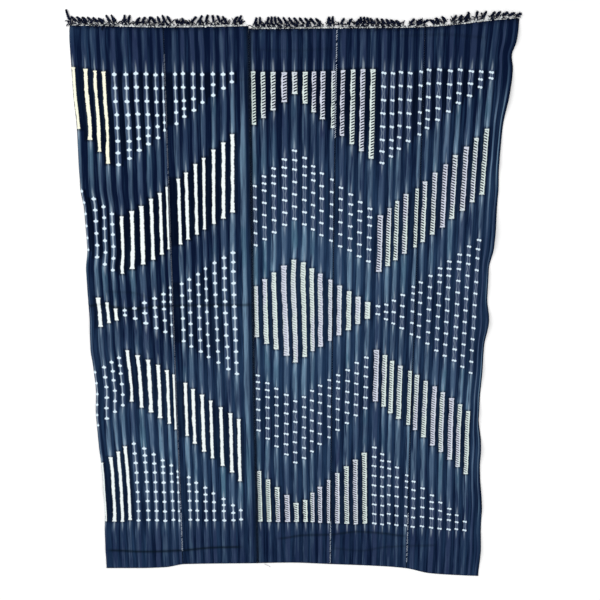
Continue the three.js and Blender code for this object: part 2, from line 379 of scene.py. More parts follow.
RESIST_ROWS = table(
    ["half", "row", "first", "last", "even_dots",
     "upper_first", "upper_last", "lower_first", "lower_last"],
    [
        [0, 1, 0, 3, 0, 1468, 1455, 1313, 1226],
        [0, 1, 4, 16, 1, 1451, 1451, 1220, 1434],
        [0, 2, 0, 3, -1, 1149, 1088, 990, 934],
        [0, 2, 4, 9, 0, 1080, 1163, 923, 991],
        [0, 2, 10, 16, 0, 1181, 1298, 1003, 1091],
        [0, 3, 1, 3, 0, 854, 825, 771, 790],
        [0, 3, 4, 5, -1, 821, 823, 805, 795],
        [0, 3, 6, 9, -1, 839, 882, 780, 744],
        [0, 3, 10, 16, -1, 894, 981, 730, 629],
        [0, 4, 0, 3, -1, 636, 681, 472, 535],
        [0, 4, 4, 9, 0, 702, 628, 546, 459],
        [0, 4, 10, 16, 0, 603, 492, 439, 296],
        [0, 5, 0, 3, 0, 352, 407, 160, 161],
        [0, 5, 4, 16, -1, 416, 198, 163, 165],
        [1, 1, 0, 4, 0, 1456, 1456, 1323, 1401],
        [1, 1, 5, 12, 0, 1455, 1464, 1377, 1236],
        [1, 1, 13, 17, 1, 1455, 1455, 1222, 1300],
        [1, 1, 18, 24, 1, 1462, 1457, 1316, 1440],
        [1, 2, 0, 4, -1, 1164, 1256, 1003, 1075],
        [1, 2, 5, 12, -1, 1237, 1102, 1060, 957],
        [1, 2, 13, 17, 0, 1086, 1159, 930, 997],
        [1, 2, 18, 24, 0, 1177, 1312, 1012, 1141],
        [1, 3, 0, 4, 0, 888, 963, 741, 667],
        [1, 3, 5, 12, 0, 955, 842, 681, 795],
        [1, 3, 13, 14, -1, 831, 836, 806, 792.5],
        [1, 3, 15, 17, -1, 845, 884, 780, 752],
        [1, 3, 18, 24, -1, 897, 1019, 740, 633],
        [1, 4, 0, 4, -1, 624, 545, 457, 354],
        [1, 4, 5, 12, -1, 560, 678, 368, 525],
        [1, 4, 13, 17, 0, 702, 640, 548, 474],
        [1, 4, 18, 24, 0, 627, 519, 457, 318],
        [1, 5, 0, 4, 0, 326, 221, 161, 161],
        [1, 5, 5, 12, 0, 232, 385, 161, 150],
        [1, 5, 13, 24, -1, 402, 159, 155, 130],
    ],
)
DOT_STEPS = [33, 33.8, 33, 33.2, 32.3, 31.5]
HAND_SLIP = 1.2
LAST_GAPS = 2
GAP_TO_SPARE = 0.1
STRIPES_BEFORE = [0, 10, 0, 9, 18]
NO_MARK = [-500.0, 1.0, 0.0, 30.0, 0.0, 30.0, 0.0]


def marks_of(strip, stripe):
    """The marks of one stripe from the hem up: middle, half length, the end that its dots are
    counted from (1 upper, -1 lower, 0 for a bar), dot step, number of even steps, the gap that
    the last dots share, and row. A mark's ends lie on straight lines between those of the first
    and last stripe of its run, with a slip of the hand."""
    count = STRIPES_BEFORE[strip] + stripe
    rng = np.random.default_rng(1000 * strip + stripe)
    rows = []
    for half, row, first, last, even_dots, *ends in zip(*RESIST_ROWS.values()):
        if half == half_of(strip) and first <= count <= last:
            share = (count - first) / (last - first)
            upper = ends[0] + share * (ends[1] - ends[0]) + rng.normal(0, HAND_SLIP)
            lower = ends[2] + share * (ends[3] - ends[2]) + rng.normal(0, HAND_SLIP)
            step = DOT_STEPS[int(row)]
            gaps = max(math.ceil((upper - lower) / step - GAP_TO_SPARE), 1)
            even = max(gaps - LAST_GAPS, 0)
            last_gap = (upper - lower - even * step) / (gaps - even)
            middle, half_length = (upper + lower) / 2, (upper - lower) / 2
            rows.append([middle, half_length, even_dots, step, even, last_gap, row])
    return np.array(sorted(rows)).reshape(-1, len(NO_MARK))


def straying_of(strip, over_loom, along):
    """How far sideways the stripes stray: the sum of the strip's patches, and nothing at both
    selvedges."""
    own = STRAYING["strip"] == strip
    patches = {name: numbers[own] for name, numbers in STRAYING.items() if name != "strip"}
    share = over_loom / LOOM_WIDTH
    kept = np.clip(np.minimum(share, 1 - share) / KEPT_EDGE, 0, 1)
    return patches_at(patches, over_loom, along) * kept


def columns_of(strip):
    """Where a strip's mesh has columns, in loom millimetres, and the stripe of each cell between
    them: four columns over each light stripe, and three in each dark one, so that its middle is
    where one stripe's cells end and the next one's begin."""
    middles, halves = (np.array(rows[strip], float) for rows in (STRIPE_MIDDLES, STRIPE_HALF_WIDTHS))
    over_light = (middles[:, None] + halves[:, None] * np.array(COLUMNS_OVER_LIGHT)).ravel()
    dark_from, dark_to = (middles + halves)[:-1], (middles - halves)[1:]
    in_dark = dark_from[:, None] + (dark_to - dark_from)[:, None] * np.array(COLUMNS_IN_DARK)
    at_edges = np.array([0, *EDGE_COLUMNS, *(LOOM_WIDTH - np.array(EDGE_COLUMNS)), LOOM_WIDTH])
    columns = np.unique(np.round(np.concatenate([at_edges, over_light, in_dark.ravel()]), 3))
    columns = columns[(columns >= 0) & (columns <= LOOM_WIDTH)]
    columns = columns[np.concatenate([[True], np.diff(columns) > CLOSEST_COLUMNS])]
    columns[-1] = LOOM_WIDTH
    dark_middles = (dark_from + dark_to) / 2
    return columns, np.searchsorted(dark_middles, (columns[:-1] + columns[1:]) / 2)


def hem_roll(depth_share):
    """How thick the rolled hem is, at a share of the way over it: a half circle, flattened."""
    return HEM_ROLL * np.sqrt(np.clip(1 - (2 * depth_share - 1) ** 2, 0, 1))


def strip_points(strip, columns, rows):
    """The underside and the upper side of a strip, as grids of points in metres, the plan
    distances, and the distances from both selvedges, the hem and the fringed end. The underside
    is lifted by swells, creases, cockles and the sewn edges, and the upper side stands over it by
    the thickness, thinner at the rounded edges, thicker in the hem roll, and ribbed by the light
    stripes."""
    share = columns[None, :] / LOOM_WIDTH
    length_share = rows[:, None]
    if strip == 0:
        ramp = np.minimum(columns[None, :] / FIRST_DARK_STRIPE, 1)
        share = share - TURNED_UNDER / LOOM_WIDTH * (1 - length_share) * ramp * (1 - share)
    share = share + straying_of(strip, columns[None, :], length_share * CLOTH_END) / LOOM_WIDTH
    across, along = lie_of(strip, share + 0 * length_share, length_share + 0 * share)
    length = along[-1:] - along[:1]
    from_left, from_right = across - across[:, :1], across[:, -1:] - across
    from_hem = length_share * length
    ridges = SELVEDGE_RIDGES[strip] * np.exp(-((from_left / SELVEDGE_REACH) ** 2))
    ridges = ridges + SELVEDGE_RIDGES[strip + 1] * np.exp(-((from_right / SELVEDGE_REACH) ** 2))
    flat_ends = np.clip(np.minimum(from_hem, (1 - length_share) * length) / FLAT_END_REACH, 0, 1)
    relief = crease_relief(across, along) + cockle_at(across, along) + ridges
    under = lift_at(across, along) + relief * flat_ends

    middles, halves = (np.array(rows_[strip], float) for rows_ in (STRIPE_MIDDLES, STRIPE_HALF_WIDTHS))
    nearest = np.abs(columns[:, None] - middles).argmin(1)
    place = np.abs(columns - middles[nearest]) / halves[nearest]
    rib = RIB_HEIGHT * np.cos(np.minimum(place, 1) * math.pi / 2)[None, :] ** 2
    edge = np.minimum(np.minimum(from_left, from_right) / EDGE_ROUNDING, 1)
    rounding = 0.5 + 0.5 * np.sqrt(1 - (1 - edge) ** 2)
    end = np.minimum((1 - length_share) * length / EDGE_ROUNDING, 1)
    roll = np.clip(from_hem / HEM_DEPTH, 0, 1)
    body = (CLOTH_THICKNESS + rib) * rounding * (0.5 + 0.5 * np.sqrt(1 - (1 - end) ** 2))
    hem = np.maximum(hem_roll(roll), np.minimum(body, THIN_INSIDE_HEM + roll))
    thickness = np.where(roll < 1, hem, body)
    lower = in_frame(across, along, under)
    upper = in_frame(across, along, under + thickness)
    from_end = (1 - length_share) * length + 0 * across
    return lower, upper, across, along, (from_left, from_right, from_hem + 0 * across, from_end)


def strip_faces(row_count, column_count):
    """The quads of a closed slab, as indices of its grid points (underside first, then upper
    side), and the grid column that each belongs to. All of them point outwards."""
    cell_row, cell_column = (grid.ravel() for grid in np.mgrid[:row_count - 1, :column_count - 1])
    corner = cell_row * column_count + cell_column
    above = row_count * column_count
    ring = np.stack([corner, corner + 1, corner + column_count + 1, corner + column_count], 1)
    row, column = np.arange(row_count - 1), np.arange(column_count - 1)
    last_row, last_column = (row_count - 1) * column_count, column_count - 1
    left, right = row * column_count, row * column_count + last_column
    near, far = column, column + last_row
    quads = [
        ring + above,
        ring[:, ::-1],
        np.stack([left + column_count, left, left + above, left + column_count + above], 1),
        np.stack([right, right + column_count, right + column_count + above, right + above], 1),
        np.stack([near, near + 1, near + 1 + above, near + above], 1),
        np.stack([far + 1, far, far + above, far + 1 + above], 1),
    ]
    columns = [cell_column, cell_column, row * 0, row * 0 + column_count - 2, column, column]
    return np.concatenate(quads), np.concatenate(columns)


def mesh_object(name, points, faces):
    """A smooth-shaded object from an array of points and an array of faces of equal size."""
    mesh = bpy.data.meshes.new(name)
    mesh.vertices.add(len(points))
    mesh.vertices.foreach_set("co", np.ascontiguousarray(points, np.float32).ravel())
    mesh.loops.add(faces.size)
    mesh.loops.foreach_set("vertex_index", faces.ravel().astype(np.int32))
    mesh.polygons.add(len(faces))
    mesh.polygons.foreach_set("loop_start", np.arange(0, faces.size, faces.shape[1], dtype=np.int32))
    mesh.polygons.foreach_set("loop_total", np.full(len(faces), faces.shape[1], np.int32))
    mesh.update(calc_edges=True)
    mesh.validate()
    mesh.polygons.foreach_set("use_smooth", np.ones(len(faces), bool))
    piece = bpy.data.objects.new(name, mesh)
    bpy.context.scene.collection.objects.link(piece)
    return piece


def write_corners(mesh, name, values):
    """Stores three numbers for each corner of each face under a name."""
    attribute = mesh.attributes.new(name, "FLOAT_VECTOR", "CORNER")
    attribute.data.foreach_set("vector", np.ascontiguousarray(values, np.float32).ravel())


# Where the dye has faded most, as soft round patches of the light stripes.
FADED = table(["across", "along", "half_width", "half_length", "strength"], [
    [600, 850, 300, 400, 1.1],
    [420, 1250, 110, 330, 0.6],
    [910, 980, 190, 330, 0.35],
    [1010, 500, 220, 330, 0.85],
    [580, 480, 250, 260, 0.5],
    [200, 320, 300, 300, 0.8],
    [110, 1270, 170, 140, 0.6],
    [120, 980, 170, 160, 0.8],
    [370, 300, 150, 160, 0.6],
    [330, 800, 200, 260, 0.35],
    [1050, 1290, 170, 280, 0.8],
    [700, 1370, 110, 160, 0.2],
])
FADED_EVERYWHERE = 0.25
FADED_AT_ENDS = 0.12
FADING_START, FADING_END = 115.0, 1500.0
FADING_REACH = 110
# Where the dark stripes are still as deep as when they were dyed, and below 0 most worn.
DEEP_DYED = table(["across", "along", "half_width", "half_length", "strength"], [
    [170, 1150, 430, 640, 1.4],
    [280, 730, 220, 90, 0.5],
    [750, 1530, 950, 430, 1.4],
    [575, 30, 950, 210, 0.5],
    [600, 850, 280, 420, -0.8],
])
MOST_WORN = 1.8


def faded_at(across, along):
    """How far the dye of the light stripes has faded, from 0 to 1: a little everywhere, more in
    the patches, and less towards both ends of the cloth."""
    into = np.clip(np.minimum(along - FADING_START, FADING_END - along) / FADING_REACH, 0, 1)
    faded = np.clip(FADED_EVERYWHERE + patches_at(FADED, across, along), 0, 1)
    return faded * (FADED_AT_ENDS + (1 - FADED_AT_ENDS) * into)


# How wide the bars are, as a share of their stripe, in each row of the left and right half.
BAR_WIDTHS = [[0, 0.58, 0.6, 0.6, 0.62, 0.64], [0, 0.84, 0.86, 0.88, 0.92, 0.88]]
# How far the stitching shows as hatching over a bar: below 0 it lies over the bar's left part,
# and above 0 over its right part.
HATCHING = [[0, 0, 0, 0, 0, 0], [0, 1, -0.95, -0.5, -0.8, -0.9]]
# How dark the cloth is at its borders (two edges and four seams) and at the hem, and how far in:
# partly darker selvedge yarn and thread, partly painted shade of the seams, edges and hem roll.
BORDER_SHADE = [0.3, 0.45, 0.95, 0.6, 0.5, 0.8]
BORDER_REACH = [1.2, 2.0, 5.5, 2.2, 2.0, 3.2]
HEM_SHADE, HEM_SHADE_REACH = 0.8, 2.4
FRAYED_END_REACH = 8.5
STRIP_SPACING_ON_MAP = 1.05


def border_shade(strip, from_left, from_right, from_hem, from_end):
    """How dark the borders are, partly from darker selvedges and thread and partly painted shade,
    and the frayed end: each one's shade times e to the minus square of the distance over its
    reach."""
    shade = HEM_SHADE * np.exp(-((from_hem / HEM_SHADE_REACH) ** 2))
    for distance, border in ((from_left, strip), (from_right, strip + 1)):
        at_border = BORDER_SHADE[border] * np.exp(-((distance / BORDER_REACH[border]) ** 2))
        shade = np.maximum(shade, at_border)
    return shade, np.exp(-((from_end / FRAYED_END_REACH) ** 2))


def write_dye_and_shade(strip, mesh, columns, cell_stripe, along, across, shaded, frayed, faces, cell_columns):
    """Stores at each face's corners what its colours are worked out from. The map is metres over
    the loom and along the warp; stripe is the place over the light stripe (-1 to 1), a shade of
    its own and the share that has faded; mark is its nearest mark's middle, half length and the
    end that dots are counted from; dots is their step, number of even steps and last gap; finish
    is the half of the cloth (0 left, 1 right), its hatching and how dark the painted shade of the
    creases and the darker borders are; wear is the width of its bars, how far the dark dye has
    worn, and the frayed end."""
    row_count, column_count = along.shape
    grid_row, grid_column = (faces % (row_count * column_count)) // column_count, faces % column_count
    stripe = cell_stripe[cell_columns]
    middles, halves = (np.array(rows[strip], float) for rows in (STRIPE_MIDDLES, STRIPE_HALF_WIDTHS))
    place = (columns[grid_column] - middles[stripe][:, None]) / halves[stripe][:, None]
    warp_along = along[grid_row, grid_column]
    shade = np.random.default_rng(50 + strip).uniform(0, 1, len(middles))[stripe]
    faded = faded_at(across, along)[grid_row, grid_column]

    face_along = warp_along.mean(1)
    mark = np.tile(NO_MARK, (len(faces), 1))
    for number in range(len(middles)):
        rows = marks_of(strip, number)
        if len(rows):
            lower, upper = rows[:, 0] - rows[:, 1], rows[:, 0] + rows[:, 1]
            between = (upper[:-1] + lower[1:]) / 2
            here = stripe == number
            mark[here] = rows[np.searchsorted(between, face_along[here])]
    side, row = half_of(strip), mark[:, 6].astype(int)
    hatching, bar_width = np.array(HATCHING)[side][row], np.array(BAR_WIDTHS)[side][row]
    worn = np.clip(1 - patches_at(DEEP_DYED, across, along), 0, MOST_WORN)[grid_row, grid_column]

    four = np.ones((1, 4))
    half = np.full((len(faces), 1), float(side)) * four
    hatched, barred = hatching[:, None] * four, bar_width[:, None] * four
    write_corners(mesh, "stripe", np.stack([place, shade[:, None] * four, faded], -1))
    write_corners(mesh, "mark", mark[:, None, 0:3] * four[..., None])
    write_corners(mesh, "dots", mark[:, None, 3:6] * four[..., None])
    write_corners(mesh, "half_hatching_and_shade", np.stack([half, hatched, shaded[grid_row, grid_column]], -1))
    write_corners(mesh, "wear", np.stack([barred, worn, frayed[grid_row, grid_column]], -1))
    layer = mesh.uv_layers.new(name="cloth")
    loom = (columns[grid_column] + LOOM_WIDTH * STRIP_SPACING_ON_MAP * strip) * METRE
    layer.data.foreach_set("uv", np.stack([loom, warp_along * METRE], -1).astype(np.float32).ravel())


class Reading:
    """A number that a material works out at each point of a surface. Sums, products and the like
    of readings are readings too, each one a math node."""

    def __init__(self, tree, socket):
        self.tree, self.socket = tree, socket

    def work(self, operation, *others, clamped=False):
        node = self.tree.nodes.new("ShaderNodeMath")
        node.operation, node.use_clamp = operation, clamped
        for term, place in zip((self, *others), node.inputs):
            join(self.tree, term, place)
        return Reading(self.tree, node.outputs[0])

    def __add__(self, other):
        return self.work("ADD", other)

    def __sub__(self, other):
        return self.work("SUBTRACT", other)

    def __rsub__(self, other):
        return (self * -1).work("ADD", other)

    def __mul__(self, other):
        return self.work("MULTIPLY", other)

    def __truediv__(self, other):
        return self.work("DIVIDE", other)

    __radd__, __rmul__ = __add__, __mul__

    def size(self):
        return self.work("ABSOLUTE")

    def least(self, other):
        return self.work("MINIMUM", other)

    def most(self, other):
        return self.work("MAXIMUM", other)

    def held(self):
        """The same number, kept between 0 and 1."""
        return self.work("MULTIPLY", 1, clamped=True)

    def inside(self, edge, soft):
        """1 well below the edge and 0 well above it, with a smooth step as wide as soft."""
        node = self.tree.nodes.new("ShaderNodeMapRange")
        node.interpolation_type = "SMOOTHSTEP"
        join(self.tree, self, node.inputs["Value"])
        join(self.tree, edge - soft * 0.5, node.inputs["From Min"])
        join(self.tree, edge + soft * 0.5, node.inputs["From Max"])
        node.inputs["To Min"].default_value, node.inputs["To Max"].default_value = 1, 0
        return Reading(self.tree, node.outputs["Result"])


def join(tree, term, place):
    """Gives a node's input a reading or a plain number."""
    if isinstance(term, Reading):
        tree.links.new(term.socket, place)
    else:
        place.default_value = term


def new_finish(name, roughness):
    """An empty material with one matt surface, and its node tree and surface node."""
    material = bpy.data.materials.new(name)
    material.use_nodes = True
    surface = material.node_tree.nodes["Principled BSDF"]
    surface.inputs["Roughness"].default_value = roughness
    surface.inputs["Specular IOR Level"].default_value = 0.0
    return material, material.node_tree, surface


def streaks(tree, source, per_metre_across, per_metre_along, detail, seed):
    """Noise drawn out along the warp, about 0 to 1: its features are so many to the metre."""
    spread = tree.nodes.new("ShaderNodeMapping")
    spread.inputs["Scale"].default_value = (per_metre_across, per_metre_along, 1)
    spread.inputs["Location"].default_value = (seed, seed * 2.3, seed * 0.7)
    tree.links.new(source, spread.inputs["Vector"])
    noise = tree.nodes.new("ShaderNodeTexNoise")
    noise.inputs["Scale"].default_value = 1
    noise.inputs["Detail"].default_value = detail
    tree.links.new(spread.outputs["Vector"], noise.inputs["Vector"])
    return Reading(tree, noise.outputs["Fac"])


def parts_of(tree, attribute):
    """The three numbers that are stored under a name, as readings."""
    source = tree.nodes.new("ShaderNodeAttribute")
    source.attribute_name = attribute
    split = tree.nodes.new("ShaderNodeSeparateXYZ")
    tree.links.new(source.outputs["Vector"], split.inputs["Vector"])
    return [Reading(tree, output) for output in split.outputs]


def tinted(tree, base, over, share):
    """A colour that goes from base to over as the share goes from 0 to 1."""
    node = tree.nodes.new("ShaderNodeMix")
    node.data_type = "RGBA"
    join(tree, share, node.inputs["Factor"])
    for colour, place in ((base, "A"), (over, "B")):
        socket = [s for s in node.inputs if s.name == place and s.type == "RGBA"][0]
        if isinstance(colour, bpy.types.NodeSocket):
            tree.links.new(colour, socket)
        else:
            socket.default_value = shade_of(*colour)
    return [s for s in node.outputs if s.type == "RGBA"][0]


def shade_of(red, green, blue):
    """A colour as seen (0 to 255) as the amounts of light that a surface sends back."""
    seen = np.array([red, green, blue]) / 255
    light = np.where(seen <= 0.04045, seen / 12.92, ((seen + 0.055) / 1.055) ** 2.4)
    return (*light.tolist(), 1.0)


DARK_INDIGO = (9, 20, 45)
WORN_INDIGO = (35, 57, 86)
DEEPEST_INDIGO = (4, 10, 25)
# The colour of the painted shade on the creases and of the darkened borders.
SHADE_AND_SEAM_INDIGO = (9, 19, 27)
PLAIN_INDIGO = (32, 46, 75)
FADED_INDIGO = (102, 130, 154)
TEAL_INDIGO = (50, 90, 112)
PURPLE_INDIGO = (62, 64, 100)
DOTTED_INDIGO = (50, 64, 94)
HATCH_INDIGO = (10, 19, 40)
WHITE_COTTON = (232, 240, 240)
DOT_WHITE = (212, 230, 242)
CREAM_COTTON = (244, 243, 217)
GREEN_WHITE = (214, 229, 224)
LILAC_WHITE = (204, 208, 226)
FIRST_BARS_ACROSS, FIRST_BARS_ALONG = 240, 1300
TAPER_LENGTH, TAPER_FADE = 24, 30
HATCH_PITCH = 7.2
HATCH_SLOPE = 2.4
WARP_RIB = 1.2
WEFT_STEP = 1.7
WEAVE_DEPTH = 0.0005


def indigo_cotton():
    """Stripes, marks, the painted shade of creases and the darker borders, worked out from what
    write_dye_and_shade stored. Lengths are in millimetres; p is the place over the light stripe."""
    material, tree, surface = new_finish("indigo_cotton", 1.0)
    p, shade, faded = parts_of(tree, "stripe")
    middle, half_length, even_end = parts_of(tree, "mark")
    step, even_steps, last_gap = parts_of(tree, "dots")
    right_half, hatching, shaded = parts_of(tree, "half_hatching_and_shade")
    bar_width, worn, frayed = parts_of(tree, "wear")
    woven = tree.nodes.new("ShaderNodeUVMap")
    woven.uv_map = "cloth"
    split = tree.nodes.new("ShaderNodeSeparateXYZ")
    tree.links.new(woven.outputs["UV"], split.inputs["Vector"])
    loom = Reading(tree, split.outputs["X"]) * 1000
    along = Reading(tree, split.outputs["Y"]) * 1000

    def unevenness(per_metre_across, per_metre_along, detail, seed, strength=6):
        """Unevenness of yarn or dye, about -1 to 1: noise less its mean, times a strength."""
        noise = streaks(tree, woven.outputs["UV"], per_metre_across, per_metre_along, detail, seed)
        return (noise - 0.5) * strength

    yarn = unevenness(170, 7, 3, 1.7, strength=7)
    thread = unevenness(480, 16, 2, 5.1)
    cloud = unevenness(14, 6, 3, 9.4)
    slow = unevenness(60, 5, 2, 3.3)
    speck = unevenness(520, 380, 2, 7.7)
    wobble = unevenness(40, 30, 2, 11.3)
    nibble = unevenness(70, 120, 2, 14.9)

    # Light stripes, with fuzzy borders where the yarns mix.
    wavy = p + yarn * 0.26 + slow * 0.14 + thread * 0.1
    light = wavy.size().inside(0.94, 0.6)
    core = wavy.size().inside(0.55, 0.8)

    # Marks: past_end is the distance past the nearest mark's end.
    from_middle = (along + speck * 0.6) - middle
    past_end = from_middle.size() - half_length
    in_mark = past_end.inside(5, 9)
    dotted = even_end.size()
    bars = 1 - dotted
    drawn = p + wobble * 0.1
    flare = past_end.size().inside(4.5, 7) * (0.2 - right_half * 0.12)
    waist = bar_width + flare + wobble * 0.06 + slow * 0.05 + nibble * 0.07
    bar = past_end.inside(0, 2) * drawn.size().inside(waist + speck * 0.08, 0.3)
    needle = (drawn + yarn * 0.2).size() + past_end.most(0) * 0.004
    taper = past_end.inside(TAPER_LENGTH, TAPER_FADE) * needle.inside(0.3, 0.5)

    # Dots: up is the distance above the nearest dot's middle. The left half's are ovals with a
    # peak on both sides, and the right half's two slanting lobes.
    counted = half_length - even_end * from_middle
    evenly = step * even_steps
    number = counted.least(evenly) / step + (counted - evenly).most(0) / last_gap
    spacing = step + (last_gap - step) * (evenly - counted).inside(0, 0.02)
    up = even_end * (number.work("ROUND") - number) * spacing

    def lobe(middle_up, half_length, middle_across, width_squared):
        """Squared distance from the middle of a dot's lobe, 1 at its elliptical rim."""
        rise, aside = (up - middle_up) / half_length, drawn - middle_across
        return rise * rise + aside * aside / width_squared

    oval = lobe(0, 3.8, 0, 0.76).work("SQRT").inside(0.98, 0.42)
    peak = (drawn.size() * 20 + (up - 1.5).size()).inside(7, 4)
    left_dot = oval.most(peak)
    near_lobe, far_lobe = lobe(0.7, 2.9, -0.46, 0.24), lobe(-0.8, 3.2, 0.42, 0.26)
    right_dot = near_lobe.least(far_lobe).work("SQRT").inside(0.98, 0.4)
    dot = (left_dot + (right_dot - left_dot) * right_half) * past_end.inside(7, 2)
    line = (drawn + yarn * 0.1).size().inside(0.26, 0.36) * 0.46
    swing = (number * (2 * math.pi)).work("COSINE") * 0.12
    ladder = ((drawn + yarn * 0.12).size() - 0.42 - swing).size().inside(0.1, 0.22) * 0.26
    between = (line + (ladder - line) * right_half) * past_end.inside(3, 3)

    # Hatching: dark slanting stitches over one side of a bar.
    slant = hatching.work("SIGN")
    stitched_side = ((p * slant) * -1 + slow * 0.1 + wobble * 0.08).inside(0.45, 0.3)
    turns = along * (2 * math.pi / HATCH_PITCH) - p * slant * HATCH_SLOPE + speck * 0.25
    slashes = turns.work("SINE").inside(0.1, 0.3)
    hatch = (slashes * 0.96 + 0.04) * stitched_side * past_end.inside(-4, 4) * hatching.size()

    # Colours of the dyed cloth.
    uneven = yarn * 0.45 + slow * 0.2 + thread * 0.3 + (shade - 0.5) * 0.3
    paleness = (faded * (0.56 + core * 0.44) + uneven * (0.36 + faded * 0.64)).held()
    tone = tinted(tree, PLAIN_INDIGO, FADED_INDIGO, paleness)
    teal = (cloud * 0.33 + shade * 0.4 + 0.3).inside(0.46, 0.2)
    tone = tinted(tree, tone, TEAL_INDIGO, teal * (0.08 + faded * 0.5))
    purple = (shade + cloud * 0.27).inside(0.3, 0.4)
    tone = tinted(tree, tone, PURPLE_INDIGO, purple * (0.2 + faded * 0.2))
    tone = tinted(tree, tone, DARK_INDIGO, (1 - worn).held() * 0.22)
    tone = tinted(tree, tone, DOTTED_INDIGO, in_mark * dotted * (0.6 + right_half * 0.25))
    wearing = worn * 0.48 + yarn * 0.27 + slow * 0.1 + thread * 0.17
    dark = tinted(tree, DARK_INDIGO, WORN_INDIGO, wearing.held())
    deepened = ((1 - worn * 0.7).held() * 0.75).most(bars * 0.45)
    dark = tinted(tree, dark, DEEPEST_INDIGO, in_mark * deepened)
    ground = tinted(tree, dark, tone, light * (1 - in_mark * bars * 0.85))
    ground = tinted(tree, ground, DEEPEST_INDIGO, (thread * 0.3 + speck * 0.3 - 0.1).held() * 0.35)

    # Colours of the marks. The first strip's uppermost bars have yellowed to cream, and the bars
    # of the right half are stained by their stitching.
    in_first_strip = loom.inside(FIRST_BARS_ACROSS, 1)
    in_first_bars = in_first_strip * (1 - middle.inside(FIRST_BARS_ALONG, 1)) * bars
    white = tinted(tree, WHITE_COTTON, CREAM_COTTON, in_first_bars * 0.9)
    lilac = (shade * 0.7 + cloud * 0.3 + slow * 0.2).inside(0.3, 0.5)
    stained = tinted(tree, GREEN_WHITE, LILAC_WHITE, lilac)
    white = tinted(tree, white, stained, right_half * bars * 0.85)
    white = tinted(tree, white, DOT_WHITE, dotted)
    marked = bar * bars + dot * dotted
    weaker = (taper * 0.26 * (1 - in_mark * dotted) + between * dotted) * light
    colour = tinted(tree, ground, DOT_WHITE, weaker.held())
    colour = tinted(tree, colour, white, marked.held())
    colour = tinted(tree, colour, HATCH_INDIGO, hatch * marked * bars)

    # Painted shade along the creases, and the borders' darker yarn and thread with painted shade,
    # darken the cloth and the right half's bars, and the other marks only a little. The frayed end
    # is almost black.
    kept_white = marked * (1 - right_half * bars)
    colour = tinted(tree, colour, SHADE_AND_SEAM_INDIGO, shaded * (0.85 - kept_white * 0.6))
    fraying = (yarn * 0.4 + speck * 0.5 + 0.7) * frayed
    colour = tinted(tree, colour, DEEPEST_INDIGO, fraying.held() * 0.85)
    tree.links.new(colour, surface.inputs["Base Color"])

    # The weave: warp ribs side by side, stepped by each pick of the weft.
    warp_wave = (loom * (2 * math.pi / WARP_RIB)).work("SINE")
    weft_wave = (along * (2 * math.pi / WEFT_STEP)).work("SINE")
    weave = warp_wave * weft_wave * 0.5 + warp_wave * 0.3 + thread * 0.25 + speck * 0.15
    bump = tree.nodes.new("ShaderNodeBump")
    bump.inputs["Strength"].default_value = 0.45
    bump.inputs["Distance"].default_value = WEAVE_DEPTH
    join(tree, weave, bump.inputs["Height"])
    tree.links.new(bump.outputs["Normal"], surface.inputs["Normal"])
    return material


cotton = indigo_cotton()
strip_pieces = []
for strip in range(STRIPS):
    columns, cell_stripe = columns_of(strip)
    cloth_length = float(np.ptp(lie_of(strip, 0.5, np.array([0.0, 1.0]))[1]))
    even_rows = np.arange(FIRST_EVEN_ROW, cloth_length - LAST_EVEN_ROW, ROW_STEP)
    rows = np.concatenate([HEM_ROWS, even_rows, cloth_length - np.array(END_ROWS)])
    lower, upper, across, along, borders_away = strip_points(strip, columns, rows / cloth_length)
    bordered, frayed = border_shade(strip, *borders_away)
    # Painted shade on the creases, and the borders' darkening, part darker yarn and thread, part
    # painted shade.
    shaded = np.maximum(crease_shade(across, along), bordered)
    faces, cell_columns = strip_faces(len(rows), len(columns))
    points = np.concatenate([lower.reshape(-1, 3), upper.reshape(-1, 3)])
    piece = mesh_object(f"woven_strip_{strip + 1}", points, faces)
    write_dye_and_shade(
        strip, piece.data, columns, cell_stripe, along, across, shaded, frayed, faces, cell_columns
    )
    piece.data.set_sharp_from_angle(angle=math.radians(SHARP_EDGE_ANGLE))
    piece.data.materials.append(cotton)
    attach(piece, "root")
    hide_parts(f"strip_{strip + 1}")
    strip_pieces.append(piece)


# The fringe
# Past its last weft, each strip's warp ends stay free. They are knotted in small bunches and
# twisted into tassels, dyed nearly black, and stay undyed where the knots kept the dye out.

TASSEL_RUNS = table(
    ["strip", "first_across", "last_across", "count", "first_lean", "last_lean", "length", "curl"],
    [
        [0, 9, 9, 1, -32, -32, 40, 24],
        [0, 24, 96, 6, -34, -44, 18, -16],
        [0, 112, 124, 2, -38, -34, 20, 10],
        [0, 143, 152, 2, 2, 12, 18, 8],
        [0, 170, 203, 3, 30, 16, 17, 14],
        [0, 224, 236, 2, -22, -14, 17, -8],
        [1, 250, 267, 2, -14, -26, 20, -10],
        [1, 287, 299, 2, -30, -12, 14, -24],
        [1, 312, 350, 3, 30, 12, 20, 16],
        [1, 372, 408, 3, 4, -24, 18, -18],
        [1, 420, 434, 2, 30, 18, 18, 14],
        [2, 476, 494, 2, 12, -12, 18, 10],
        [2, 506, 534, 3, 16, -14, 19, 6],
        [2, 550, 652, 8, -24, -38, 20, -12],
        [2, 664, 678, 2, 4, -8, 18, 16],
        [3, 696, 732, 3, 24, 34, 17, 14],
        [3, 750, 786, 4, 4, -26, 17, -12],
        [3, 800, 856, 5, -22, -46, 16, -14],
        [3, 872, 905, 3, 34, 44, 17, 18],
        [4, 942, 968, 3, -40, -18, 15, -28],
        [4, 984, 1012, 3, 18, 26, 16, 18],
        [4, 1028, 1078, 4, -14, 36, 17, 10],
        [4, 1092, 1140, 4, 30, 56, 17, 26],
    ],
)
ROOT_FROM_CLOTH = 3.3
TASSEL_STEPS = 18
FULL_LENGTH = 1.3
LONG_TASSEL, LONG_TASSEL_SHARE = 30, 0.9
PLIES = 3
PLY_SIDES = 7
